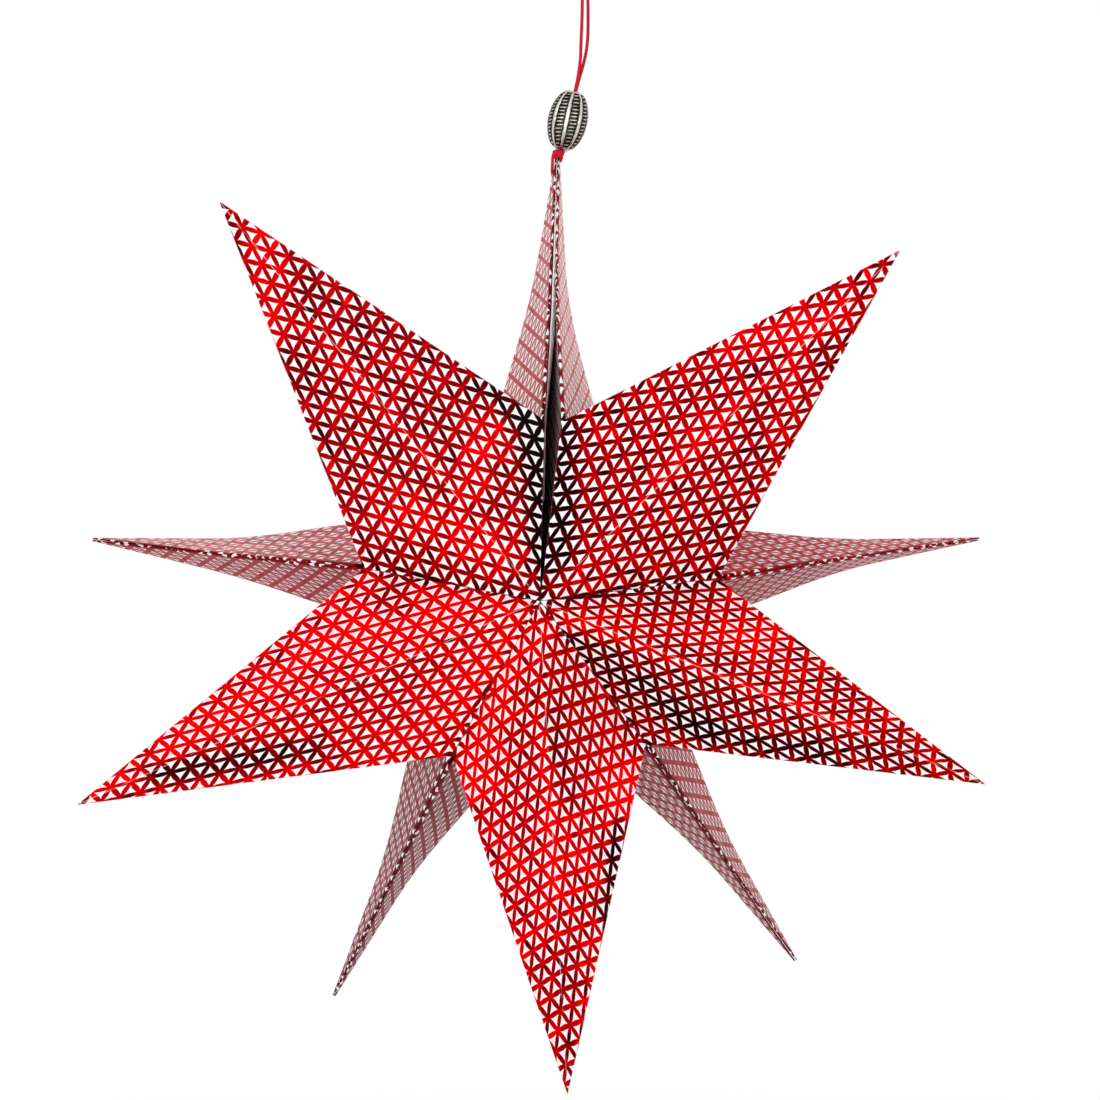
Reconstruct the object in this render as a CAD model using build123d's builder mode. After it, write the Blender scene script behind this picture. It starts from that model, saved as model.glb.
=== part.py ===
from build123d import *
from math import cos, pi, radians, sin, tan
import os
import numpy as np

# Folded paper star lantern on its hanging cord, in millimetres.
# X runs to the right, Z up and Y to the back; the star's front faces -Y.
# The origin is where the cord's loop bears on its hook, in the plane of the back tips.

# Paper: card, glued joints, end stiffener and glue flaps
card = 0.5
glue_gap = 0.1
end_card_thickness = 0.4
end_card_inset = 1.2
flap_width = 9.0
flap_axis_land = 14.0
flap_tip_land = 30.0

# Star: distances from its axis, and depths behind its front centre
front_tip_radius = 163.5
front_tip_forward = 19.0
back_tip_inset = 1.5
front_valley_radius = 62.5
front_valley_depth = 33.0
back_valley_radius = 37.0
back_valley_depth = 88.0
back_tip_depth = 135.0
back_centre_depth = 115.0
back_tip_radius = front_tip_radius - back_tip_inset

# The five star points, clockwise from the closing seam: angle of the middle fold in degrees,
# counted from +X towards +Z, and the share of the front tip radius that each one reaches
fold_angles = {
    "upper_right": 44.3,
    "lower_right": -22.3,
    "bottom": -86.8,
    "lower_left": -156.3,
    "upper_left": -231.3,
}
tip_reach_shares = {
    "upper_right": 1.01,
    "lower_right": 0.967,
    "bottom": 0.988,
    "lower_left": 1.006,
    "upper_left": 1.022,
}

# The seams between them, clockwise from the closing seam: angles of the back tip and of the valley
seam_angles = [(87.9, 81.9), (7.5, 7.0), (-55.0, -53.8), (-117.4, -119.6), (-187.3, -190.2), (-272.1, -270.9)]

# Closing seam: half the space between its two end walls, at the star's axis and at the tied tips
slit_axis_gap = 0.5
slit_tip_gap = 0.9
tied_tip_drop = 2.2

# Hanging cord of two strands, and its ends' place above and to the right of the tied tips
cord_diameter = 1.2
strand_gap = 0.1
cord_right = 1.52
knot_gap = 0.3
bend_share = 0.45

# Bead on the cord, with its bore, its end rims and its sunken bands
bead_length = 22.0
bead_diameter = 14.4
bead_rise = 0.55
bore_clearance = 1.05
bead_rim = 0.9
band_count = 7
band_depth = 0.5
band_angle = 27.0
band_land = 1.6

# Knot over the two tied tips, and the strand from it through the hole below
knot_height = 5.4
knot_diameter = 5.2
knot_shoulder = 1.6
knot_rise = 1.6
knot_right = 0.8
knot_forward = 0.9
tie_hole_distance = 9.0
tie_clearance = 0.3

# Route of the hanging cord: up through the bead, over the hook and down again
cord_radius = cord_diameter / 2
strand_side = cord_radius + strand_gap / 2
route = [
    Vector(-8.62, -strand_side, -77.00),
    Vector(-3.60, -strand_side, -53.50),
    Vector(-1.80, -strand_side, -38.10),
    Vector(-1.00, -strand_side, -27.20),
    Vector(-0.95, -strand_side, -17.40),
    Vector(-4.30, -0.30, -9.00),
    Vector(-4.30, 0.00, cord_radius),
    Vector(4.30, 0.00, cord_radius),
    Vector(4.30, 0.30, -9.00),
    Vector(0.95, strand_side, -17.40),
    Vector(1.00, strand_side, -27.20),
    Vector(1.40, strand_side, -38.10),
    Vector(-1.00, strand_side, -46.50),
    Vector(-3.60, strand_side, -53.50),
    Vector(-8.62, strand_side, -77.00),
]

# The star hangs from the cord's two ends by its tied tips
cord_foot = (route[0] + route[-1]) / 2
tied_tip = cord_foot - Vector(cord_right, 0, knot_gap + knot_rise)
tied_turn = radians(seam_angles[0][0])
star_axis = tied_tip - Vector(cos(tied_turn), 0, sin(tied_turn)) * (back_tip_radius - tied_tip_drop)

os.makedirs("parts", exist_ok=True)


def place(radius, angle, depth):
    """Point of the star at a distance from its axis, an angle round it and a depth."""
    turn = radians(angle)
    return star_axis + Vector(radius * cos(turn), depth - back_tip_depth, radius * sin(turn))


def sideways(angle):
    """Direction round the axis, the way the angle grows, at an angle."""
    turn = radians(angle)
    return Vector(-sin(turn), 0, cos(turn))


def closed_solid(triangles):
    """Solid bounded by flat triangles."""
    faces = [Face(Wire.make_polygon(corners, close=True)) for corners in triangles]
    return Solid(Shell(faces))


def normal_of(corners, inside):
    """Unit normal of a triangle that points to the inside."""
    a, b, c = corners
    direction = (b - a).cross(c - a).normalized()
    return direction if direction.dot(inside - a) > 0 else -direction


def moved_in(corner, walls, thickness):
    """Corner moved inwards until it lies one thickness behind each of its walls, as near as can be."""
    rows = [tuple(normal) for corners, normal in walls if any(corner is other for other in corners)]
    step = np.linalg.lstsq(np.array(rows), np.full(len(rows), thickness), rcond=None)[0]
    return corner + Vector(*step)


def point_corners(name, before, after, gap_before, gap_after):
    """Corners of one star point between two seams, a small gap inside each seam."""
    half_turn = radians(abs(before[0] - after[0]) / 2)
    middle = (before[0] + after[0]) / 2
    axis_step = max(gap_before[0], gap_after[0]) / sin(half_turn)
    corners = {
        "front": place(axis_step, middle, 0),
        "tip": place(front_tip_radius * tip_reach_shares[name], fold_angles[name], -front_tip_forward),
        "back_valley": place(back_valley_radius, fold_angles[name], back_valley_depth),
        "back": place(axis_step, middle, back_centre_depth),
    }
    for side, angles, gaps, way in (("before", before, gap_before, -1), ("after", after, gap_after, 1)):
        valley = place(front_valley_radius, angles[1], front_valley_depth)
        back_tip = place(back_tip_radius - gaps[2], angles[0], back_tip_depth)
        corners["valley_" + side] = valley + sideways(angles[1]) * glue_gap * way
        corners["tip_" + side] = back_tip + sideways(angles[0]) * gaps[1] * way
    return corners


def facets_of(c):
    """The eight printed facets of a star point, and the four triangles of its two seam sides."""
    printed = []
    for side in ("before", "after"):
        valley, back_tip = c["valley_" + side], c["tip_" + side]
        printed.append((c["front"], c["tip"], valley))
        printed.append((c["tip"], valley, c["back_valley"]))
        printed.append((valley, c["back_valley"], back_tip))
        printed.append((c["back_valley"], back_tip, c["back"]))
    sides = []
    for side in ("before", "after"):
        valley, back_tip = c["valley_" + side], c["tip_" + side]
        sides.append((c["front"], valley, c["back"]))
        sides.append((valley, back_tip, c["back"]))
    return printed, sides


def plate(corners, out, near, far):
    """Four-cornered sheet between two levels, folded from its first corner to its third."""
    low = [corner + out * near for corner in corners]
    high = [corner + out * far for corner in corners]
    triangles = []
    for level in (low, high):
        triangles += [(level[0], level[1], level[2]), (level[0], level[2], level[3])]
    for i in range(len(corners)):
        triangles += [(low[i - 1], low[i], high[i]), (low[i - 1], high[i], high[i - 1])]
    return closed_solid(triangles)


def towards(start, end, distance):
    """Point at a distance from one point on the way to another."""
    return start + (end - start).normalized() * distance


def flap_window(c, side, out):
    """Cutter for the open middle of a glued side, which leaves the glue flap round it."""
    valley, back_tip, front, back = c["valley_" + side], c["tip_" + side], c["front"], c["back"]
    middle = (valley + back) / 2
    corners = [
        towards(valley, back, flap_width),
        towards(back_tip, middle, flap_tip_land),
        towards(back, valley, flap_width),
        towards(front, middle, flap_axis_land),
    ]
    return plate(corners, out, -card - glue_gap, card + glue_gap)


def reach(start, direction, corners):
    """Distance from a point along a direction to the plane of a triangle."""
    a, b, c = corners
    normal = (b - a).cross(c - a)
    return (a - start).dot(normal) / direction.dot(normal)


def bend_radii(corners):
    """Largest arc at each corner that its two runs allow."""
    found = []
    for a, b, c in zip(corners, corners[1:], corners[2:]):
        first, second = b - a, c - b
        half_turn = radians(first.get_angle(second)) / 2
        found.append(bend_share * min(first.length, second.length) / tan(half_turn))
    return found


names = list(fold_angles)
solids = {}
corners_of = {}
closed_gaps = (glue_gap, glue_gap, 0)
slit_gaps = (slit_axis_gap, slit_tip_gap, tied_tip_drop)

# Hole for the tie through the two tips at the closing seam, on the middle line of their side walls
tie_hole_diameter = cord_diameter + 2 * tie_clearance
slit_valley = place(front_valley_radius, seam_angles[0][1], front_valley_depth)
tip_base = (slit_valley + place(0, 0, back_centre_depth)) / 2
tie_hole = towards(tied_tip, tip_base, tie_hole_distance)

# Star points: one folded and glued card each, hollow, open at the glued seams
for index, name in enumerate(names):
    before, after = seam_angles[index], seam_angles[index + 1]
    first, last = index == 0, index == len(names) - 1
    gap_before = slit_gaps if first else closed_gaps
    gap_after = slit_gaps if last else closed_gaps
    c = point_corners(name, before, after, gap_before, gap_after)
    printed, sides = facets_of(c)
    on_axis = (c["front"] + c["back"]) / 2
    within = (on_axis + c["back_valley"]) / 2
    walls = [(corners, normal_of(corners, on_axis)) for corners in printed]
    walls += [(corners, normal_of(corners, within)) for corners in sides]
    shell = printed + sides
    inner = {id(corner): moved_in(corner, walls, card) for corner in c.values()}
    hollow = [tuple(inner[id(corner)] for corner in corners) for corners in shell]
    with BuildPart() as star_point:
        add(closed_solid(shell))
        add(closed_solid(hollow), mode=Mode.SUBTRACT)
        if not first:
            add(flap_window(c, "before", sideways(before[0])), mode=Mode.SUBTRACT)
        if not last:
            add(flap_window(c, "after", sideways(after[0])), mode=Mode.SUBTRACT)
        if first or last:
            with BuildSketch(Plane(origin=tie_hole, x_dir=(0, 1, 0), z_dir=(1, 0, 0))):
                Circle(tie_hole_diameter / 2)
            extrude(amount=tie_hole_distance, both=True, mode=Mode.SUBTRACT)
    star_point.part.label = "star_point_" + name
    solids[star_point.part.label] = star_point.part
    corners_of[name] = c

# End card: white stiffener on the end wall at the left of the closing seam
c = corners_of["upper_left"]
centre = (c["valley_after"] + c["tip_after"] + c["back"] + c["front"]) / 4
card_corners = [
    towards(c["valley_after"], centre, end_card_inset),
    towards(c["tip_after"], tip_base, tie_hole_distance + tie_hole_diameter),
    towards(c["back"], centre, end_card_inset),
    towards(c["front"], centre, end_card_inset),
]
card_side = -sideways(seam_angles[-1][0])
with BuildPart() as end_card:
    add(plate(card_corners, card_side, glue_gap, glue_gap + end_card_thickness))
end_card.part.label = "end_card"
solids["end_card"] = end_card.part

# Bead: barrel on the cord's lowest run, with sunken bands between plain ribs
bead_up = (route[1] - route[0]).normalized()
bead_back = Vector(0, 1, 0)
bead_right = bead_back.cross(bead_up)
half_length = bead_length / 2
bead_centre = cord_foot + bead_up * (bead_rise + half_length)
bore_radius = 2 * cord_radius + strand_gap / 2 + bore_clearance
end_radius = bore_radius + bead_rim
band_end = half_length - band_land
band_floor = bead_diameter / 2 - band_depth
bead_axis = Axis(bead_centre, bead_up)
with BuildPart() as cord_bead:
    with BuildSketch(Plane(origin=bead_centre, x_dir=bead_right, z_dir=bead_right.cross(bead_up))):
        with BuildLine():
            Polyline(
                (end_radius, half_length),
                (bore_radius, half_length),
                (bore_radius, -half_length),
                (end_radius, -half_length),
            )
            ThreePointArc((end_radius, -half_length), (bead_diameter / 2, 0), (end_radius, half_length))
        make_face()
    revolve(axis=bead_axis)
    for number in range(band_count):
        start = radians(number * 360 / band_count)
        band_out = bead_right * cos(start) + bead_back * sin(start)
        with BuildSketch(Plane(origin=bead_centre, x_dir=band_out, z_dir=band_out.cross(bead_up))):
            with BuildLine():
                ThreePointArc((end_radius, -band_end), (band_floor, 0), (end_radius, band_end))
                Polyline(
                    (end_radius, band_end),
                    (bead_diameter, band_end),
                    (bead_diameter, -band_end),
                    (end_radius, -band_end),
                )
            make_face()
        revolve(axis=bead_axis, revolution_arc=band_angle, mode=Mode.SUBTRACT)
cord_bead.part.label = "cord_bead"
solids["cord_bead"] = cord_bead.part

# Hanging cord: both strands and the loop over the hook
radii = bend_radii(route)
with BuildPart() as hanging_cord:
    with BuildLine() as cord_line:
        FilletPolyline(*route, radius=radii)
    with BuildSketch(Plane(origin=route[0], z_dir=cord_line.line % 0)):
        Circle(cord_radius)
    sweep()
hanging_cord.part.label = "hanging_cord"
solids["hanging_cord"] = hanging_cord.part
cord_length = cord_line.wires()[0].length
print("cord length", round(cord_length, 1), "volume", round(hanging_cord.part.volume, 1))
print("section x length", round(cord_length * pi * cord_radius**2, 1))
print("bend radii", [round(radius, 1) for radius in radii])

# Knot: wrapped cord over the two tied tips, with its strand through the hole in both
knot_middle = tied_tip + Vector(knot_right, -knot_forward, knot_rise - knot_height / 2)
left, right = corners_of["upper_left"], corners_of["upper_right"]
left_facet = (left["valley_after"], left["back_valley"], left["tip_after"])
right_facet = (right["valley_before"], right["back_valley"], right["tip_before"])
strand_out = tie_clearance + cord_radius
left_out = reach(tie_hole, Vector(-1, 0, 0), left_facet) + strand_out
right_out = reach(tie_hole, Vector(1, 0, 0), right_facet) + strand_out
wrap_radius = knot_diameter / 2 - cord_radius
tie_route = [
    knot_middle - Vector(wrap_radius, 0, 0),
    tie_hole - Vector(left_out, 0, 0),
    tie_hole + Vector(right_out, 0, 0),
    knot_middle + Vector(wrap_radius, 0, 0),
]
with BuildPart() as tip_knot:
    with BuildSketch(Plane(origin=knot_middle, x_dir=(1, 0, 0), z_dir=(0, -1, 0))):
        RectangleRounded(knot_diameter, knot_height, knot_shoulder)
        with Locations((-knot_diameter / 2, 0)):
            Rectangle(knot_diameter, knot_height, mode=Mode.SUBTRACT)
    revolve(axis=Axis(knot_middle, (0, 0, 1)))
    with BuildLine() as tie_line:
        FilletPolyline(*tie_route, radius=cord_diameter)
    with BuildSketch(Plane(origin=tie_route[0], z_dir=tie_line.line % 0)):
        Circle(cord_radius)
    sweep(path=tie_line.wires()[0])
    for label in ("star_point_upper_right", "star_point_upper_left"):
        add(solids[label], mode=Mode.SUBTRACT)
tip_knot.part.label = "tip_knot"
solids["tip_knot"] = tip_knot.part
print("knot axis", knot_middle, "bead", bead_centre, bead_up, "star axis", star_axis)

for label, solid in solids.items():
    export_step(solid, "parts/" + label + ".step")
    print(label, len(solid.solids()), round(solid.volume, 1), solid.is_valid)
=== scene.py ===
from math import atan2, cos, pi, radians, sin, sqrt

import bmesh
import bpy
from mathutils import Matrix, Vector


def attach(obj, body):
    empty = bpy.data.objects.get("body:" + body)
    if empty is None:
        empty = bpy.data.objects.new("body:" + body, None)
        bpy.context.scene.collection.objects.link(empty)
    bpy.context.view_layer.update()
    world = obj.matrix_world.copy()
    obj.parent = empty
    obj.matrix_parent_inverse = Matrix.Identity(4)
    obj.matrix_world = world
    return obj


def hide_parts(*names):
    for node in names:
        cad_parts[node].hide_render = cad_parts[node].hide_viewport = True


# Paper star lantern of five folded points, in metres: X right, Z up, front towards -Y,
# origin where the cord's loop bears on its hook, in the plane of the back tips.
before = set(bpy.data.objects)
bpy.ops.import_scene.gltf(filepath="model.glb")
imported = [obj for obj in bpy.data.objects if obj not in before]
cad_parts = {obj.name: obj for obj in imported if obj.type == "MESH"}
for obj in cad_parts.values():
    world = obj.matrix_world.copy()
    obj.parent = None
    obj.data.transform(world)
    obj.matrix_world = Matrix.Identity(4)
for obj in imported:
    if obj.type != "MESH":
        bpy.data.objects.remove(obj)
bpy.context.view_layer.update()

# Star, as in the solids: distances from its axis, and depths behind its front centre.
# The points go clockwise from the closing seam, and so do the seams before and after them.
FRONT_TIP_RADIUS = 0.1635
FRONT_TIP_FORWARD = 0.019
FRONT_VALLEY_RADIUS = 0.0625
FRONT_VALLEY_DEPTH = 0.033
BACK_VALLEY_RADIUS = 0.037
BACK_VALLEY_DEPTH = 0.088
BACK_TIP_RADIUS = 0.162
BACK_TIP_DEPTH = 0.135
BACK_CENTRE_DEPTH = 0.115
STAR_AXIS = Vector((-0.0159957, 0, -0.2385925))

# Angle of each middle fold, and the share of the front tip radius that its sharp tip reaches
FOLD_ANGLES = {
    "upper_right": 44.3,
    "lower_right": -22.3,
    "bottom": -86.8,
    "lower_left": -156.3,
    "upper_left": -231.3,
}
TIP_REACH = {
    "upper_right": 1.024,
    "lower_right": 0.98,
    "bottom": 1.004,
    "lower_left": 1.028,
    "upper_left": 1.043,
}

# Seams: angles of the back tip and of the valley, and what each back tip adds to its radius
SEAM_ANGLES = [
    (87.9, 83.3), (7.5, 7.0), (-55.0, -53.8),
    (-117.4, -119.6), (-187.3, -190.2), (-272.1, -271.4),
]
BACK_TIP_REACH = [0.0, -0.0015, -0.0009, 0.0011, 0.0020, 0.0]
GLUE_GAP = 0.0001
SLIT_AXIS_GAP = 0.00012
SLIT_TIP_GAP = 0.0001
TIED_TIP_DROP = 0.0022

# Card: the noses where it turns over along the seams, at the valley and at the back tip,
# the rounding of its folds, and the longest edge that stays undivided
NOSE_WIDTHS = (0.0010, 0.0009)
SLIT_NOSE_WIDTHS = (0.0013, 0.0020)
NOSE_HEIGHT_SHARE = 0.5
NOSE_ROUNDING_PERCENT = 80
FOLD_ROUNDING = 0.0006
RIM_ROUNDING = 0.0011
ROUNDING_SEGMENTS = 3
PAPER_CELL = 0.006
PAPER_CUTS = 5

# Slit's right edge, turned in: how wide, how far, and the distances from the axis between
# which it comes in and goes out again
LIP_REACH = 0.0022
LIP_TURN_IN = 0.0005
LIP_WINDOW = (0.080, 0.110, 0.140, 0.158)

# Narrowing of each side of the back tips, where the card bows in: the distances from the axis
# where it starts and is full, the slope behind which it works, and the share of the width
BOW_START = 0.065
SLIT_BOW_START = 0.050
BOW_FULL = 0.122
BOW_SLOPE = 0.6
BOW_REACH = 0.05
SIDE_BOW = {
    "upper_right": (0.50, 0.28),
    "lower_right": (0.44, 0.33),
    "bottom": (0.35, 0.42),
    "lower_left": (0.30, 0.24),
    "upper_left": (0.32, 0.26),
}

# Print: where the corners of each card fall on its lattice, in steps of 7 mm; the pairs are
# for the sides before and after the point, with rows of strokes at 0, 60 and 120 degrees
PRINT_PLACES = {
    "upper_right": {
        "front": (0.71, 0.78),
        "tip": (24.25, -5.68),
        "valley": ((9.34, 6.45), (5.38, -8.43)),
        "back_valley": ((12.33, 15.76), (1.02, -18.14)),
        "back_tip": ((-7.94, 15.60), (-13.85, -6.15)),
    },
    "lower_right": {
        "front": (0.39, -0.20),
        "tip": (17.63, -16.95),
        "valley": ((10.90, 0.71), (-0.22, -10.30)),
        "back_valley": ((18.18, 9.00), (-6.62, -16.54)),
        "back_tip": ((0.08, 19.72), (-16.78, 1.42)),
    },
    "bottom": {
        "front": (1.09, 0.22),
        "tip": (18.18, -16.76),
        "valley": ((11.31, 1.18), (0.44, -9.73)),
        "back_valley": ((17.38, 7.82), (-6.84, -16.16)),
        "back_tip": ((0.91, 19.20), (-16.53, 0.88)),
    },
    "lower_left": {
        "front": (0.45, 0.25),
        "tip": (17.56, -16.89),
        "valley": ((10.51, 1.39), (-0.46, -9.95)),
        "back_valley": ((17.86, 8.21), (-7.54, -16.19)),
        "back_tip": ((0.29, 19.46), (-16.12, 0.78)),
    },
    "upper_left": {
        "front": (0.14, 0.30),
        "tip": (17.38, -16.81),
        "valley": ((10.36, 1.24), (-0.51, -10.02)),
        "back_valley": ((17.28, 7.29), (-6.94, -16.71)),
        "back_tip": ((-0.23, 17.19), (-15.42, 1.62)),
    },
}

# Strokes, in lattice steps: half widths at the end and the middle, and their wavy soft edge
STROKE_END = 0.052
STROKE_MIDDLE = 0.152
STROKE_FULLNESS = 0.8
STROKE_SOFTNESS = 0.012
STROKE_WAVE = 0.03
STROKE_WAVE_SCALE = 5.0

# Foil cracked along the middle fold, and fuller strokes along the seams
CRACK_REACH = 0.04
CRACK_SCALE = 1.1
CRACK_PATCHES = (0.42, 0.6)
FOLD_WEAR = 0.42
SEAM_FULLNESS = 0.03
SEAM_REACH = 0.5

# Side faces before and after each point: the foil's tone and its cloud, how much of a darker,
# duller copy of the foil is mixed in as painted shade, and how much thinner its strokes are
SIDE_TONE = 0.60
SIDE_CLOUD = 0.4
SIDE_CLOUD_SCALE = 0.3
FACE_EDGE = 0.15
SIDE_PAINTED_SHADE = {
    "upper_right": (0.45, 0.35),
    "lower_right": (0.50, 0.55),
    "bottom": (0.60, 0.72),
    "lower_left": (0.70, 0.35),
    "upper_left": (0.20, 0.15),
}
SIDE_THINNING = {
    "upper_right": (-0.036, 0.0),
    "lower_right": (0.0, 0.0),
    "bottom": (0.0, 0.0),
    "lower_left": (0.0, 0.0),
    "upper_left": (0.0, -0.022),
}

# Foil's tint where it is seen at a low angle
SHEEN_TINT = {
    "upper_right": 0.42,
    "lower_right": 0.36,
    "bottom": 0.46,
    "lower_left": 0.50,
    "upper_left": 0.64,
}
SHEEN_BLUE = 0.02

# Painted shade: the foil darkens along the seams before and after each point, and along the valleys
SEAM_SHADE_REACH = 0.32
VALLEY_SHADE_REACH = 0.30
VALLEY_SHADE = -0.25
SEAM_SHADE = {
    "upper_right": (-0.20, -0.12),
    "lower_right": (-0.12, -0.42),
    "bottom": (-0.42, -0.60),
    "lower_left": (-0.60, -0.22),
    "upper_left": (-0.22, -0.24),
}

# Paper turning pink in the middle of its cells, on each half of a point
PINK_EDGES = (-0.02, -0.06)
PINK_SHARE = {
    "upper_right": (0.15, 0.15),
    "lower_right": (0.5, 0.12),
    "bottom": (0.35, 0.75),
    "lower_left": (0.2, 1.0),
    "upper_left": (0.2, 0.2),
}

# Foil's tone: its slow drift, the strokes' middles in each direction, single strokes,
# the drift of each direction, and small clouds
SLOW_DRIFT = 0.45
SLOW_DRIFT_SCALE = 0.13
STROKE_CHANGES = (-0.28, -0.12, -0.34)
STROKE_MIDDLE_DEPTH = 0.05
STROKE_VARIETY = 0.26
FAMILY_DRIFT = 0.9
FAMILY_DRIFT_SCALE = 0.35
FAMILY_STEP = 17
FOIL_CLOUD = 0.75
FOIL_CLOUD_SCALE = 1.2
FOIL_DARKENING = 0.23

# General tone of each point, partly its painted sheen, then painted highlights and painted shade
# as bright and dark streaks, as (from, to, reach, change) in lattice steps
FOIL_TONE_AND_SHEEN = {
    "upper_right": 0.62,
    "lower_right": 0.63,
    "bottom": 0.77,
    "lower_left": 0.84,
    "upper_left": 0.60,
}
FOIL_PAINTED_HIGHLIGHTS_AND_SHADE = {
    "upper_right": [
        ((16.6, -0.2), (19.4, -4.4), 1.9, 0.35),
        ((17.9, -3.5), (13.2, -5.6), 1.5, 0.30),
        ((10.4, -1.9), (15.1, -3.3), 0.9, 0.25),
        ((1.6, 0.1), (10.0, -1.5), 0.8, 0.15),
        ((9.2, 5.9), (2.9, 1.5), 1.2, -0.50),
        ((11.5, 5.9), (13.1, 3.9), 1.3, -0.25),
    ],
    "lower_right": [
        ((2.9, -2.0), (11.2, -4.4), 2.2, 0.25),
        ((0.9, -1.3), (13.1, -12.3), 0.8, 0.30),
        ((0.7, -3.7), (3.5, -9.2), 2.4, -0.45),
        ((3.2, -9.5), (9.8, -13.2), 1.6, -0.35),
    ],
    "bottom": [
        ((0.1, -3.4), (2.3, -9.6), 2.4, 0.42),
        ((5.4, 1.2), (10.7, -1.8), 2.2, 0.42),
        ((5.7, -4.6), (11.0, -9.6), 0.8, 0.38),
        ((12.4, -3.6), (14.5, -7.8), 1.1, -0.60),
        ((2.6, -0.2), (8.2, -2.2), 1.8, 0.30),
        ((6.2, -4.2), (9.4, -5.2), 1.0, -0.22),
        ((16.8, -15.0), (14.6, -11.8), 3.0, -0.18),
    ],
    "lower_left": [
        ((2.4, -4.8), (4.6, -9.1), 2.8, 0.30),
        ((5.3, -9.3), (13.1, -13.8), 1.0, 0.35),
        ((2.5, -0.3), (10.5, -1.6), 2.3, 0.30),
        ((11.5, -6.5), (14.7, -13.4), 1.4, -0.55),
        ((1.8, -6.7), (1.5, -7.6), 1.2, -0.35),
    ],
    "upper_left": [
        ((14.7, -15.2), (14.4, -11.0), 2.0, 0.32),
        ((12.4, -11.0), (6.0, -5.2), 0.9, 0.28),
        ((7.9, -2.5), (2.8, -2.0), 2.5, 0.30),
        ((2.5, -8.4), (4.1, -4.6), 1.5, 0.30),
        ((2.4, -10.9), (-0.0, -9.1), 1.3, -0.50),
        ((0.1, -9.6), (-0.0, -2.0), 1.2, -0.60),
    ],
}


# Nodes and objects

def link(tree, value, socket):
    """Connects a socket, or writes a plain value."""
    if isinstance(value, bpy.types.NodeSocket):
        tree.links.new(value, socket)
    else:
        socket.default_value = value


def math_node(tree, operation, *values, clamp=False):
    node = tree.nodes.new("ShaderNodeMath")
    node.operation = operation
    node.use_clamp = clamp
    for i, value in enumerate(values):
        link(tree, value, node.inputs[i])
    return node.outputs[0]


def vector_node(tree, operation, *values):
    node = tree.nodes.new("ShaderNodeVectorMath")
    node.operation = operation
    for i, value in enumerate(values):
        link(tree, value, node.inputs[i])
    return node.outputs["Value" if operation in ("DOT_PRODUCT", "LENGTH", "DISTANCE") else "Vector"]


def smooth_step(tree, value, low, high, from_value=0.0, to_value=1.0):
    node = tree.nodes.new("ShaderNodeMapRange")
    node.interpolation_type = "SMOOTHSTEP"
    link(tree, value, node.inputs["Value"])
    link(tree, low, node.inputs["From Min"])
    link(tree, high, node.inputs["From Max"])
    link(tree, from_value, node.inputs["To Min"])
    link(tree, to_value, node.inputs["To Max"])
    return node.outputs[0]


def noise_node(tree, vector, scale, detail=2.0, roughness=0.5):
    node = tree.nodes.new("ShaderNodeTexNoise")
    link(tree, vector, node.inputs["Vector"])
    node.inputs["Scale"].default_value = scale
    node.inputs["Detail"].default_value = detail
    node.inputs["Roughness"].default_value = roughness
    return node.outputs["Fac"]


def ramp_node(tree, value, stops):
    node = tree.nodes.new("ShaderNodeValToRGB")
    link(tree, value, node.inputs[0])
    ramp = node.color_ramp
    while len(ramp.elements) < len(stops):
        ramp.elements.new(1.0)
    for element, (position, colour) in zip(ramp.elements, stops):
        element.position = position
        element.color = (*colour, 1)
    return node.outputs[0]


def mix_colour(tree, share, first, second):
    node = tree.nodes.new("ShaderNodeMix")
    node.data_type = "RGBA"
    link(tree, share, node.inputs["Factor"])
    link(tree, first, node.inputs["A"])
    link(tree, second, node.inputs["B"])
    return node.outputs["Result"]


def bump_node(tree, height, distance, strength=1.0):
    node = tree.nodes.new("ShaderNodeBump")
    link(tree, height, node.inputs["Height"])
    node.inputs["Distance"].default_value = distance
    node.inputs["Strength"].default_value = strength
    return node.outputs[0]


def new_material(name):
    material = bpy.data.materials.new(name)
    material.use_nodes = True
    tree = material.node_tree
    tree.nodes.clear()
    return material, tree


def shader_node(tree, colour, roughness, metallic=0.0, normal=None, **sockets):
    node = tree.nodes.new("ShaderNodeBsdfPrincipled")
    link(tree, colour, node.inputs["Base Color"])
    link(tree, roughness, node.inputs["Roughness"])
    node.inputs["Metallic"].default_value = metallic
    for name, value in sockets.items():
        node.inputs[name].default_value = value
    if normal is not None:
        tree.links.new(normal, node.inputs["Normal"])
    return node.outputs[0]


def mix_shaders(tree, share, first, second):
    mix = tree.nodes.new("ShaderNodeMixShader")
    tree.links.new(share, mix.inputs[0])
    tree.links.new(first, mix.inputs[1])
    tree.links.new(second, mix.inputs[2])
    return mix.outputs[0]


def set_surface(tree, shader):
    output = tree.nodes.new("ShaderNodeOutputMaterial")
    tree.links.new(shader, output.inputs["Surface"])


def object_place(tree):
    return tree.nodes.new("ShaderNodeTexCoord").outputs["Object"]


def linked_object(name, data):
    thing = bpy.data.objects.new(name, data)
    bpy.context.scene.collection.objects.link(thing)
    return thing


def finished_piece(name, bm, *materials):
    """Turns a finished bmesh into an object at the origin."""
    mesh = bpy.data.meshes.new(name)
    bm.to_mesh(mesh)
    bm.free()
    for material in materials:
        mesh.materials.append(material)
    return linked_object(name, mesh)


# Printed card

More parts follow.
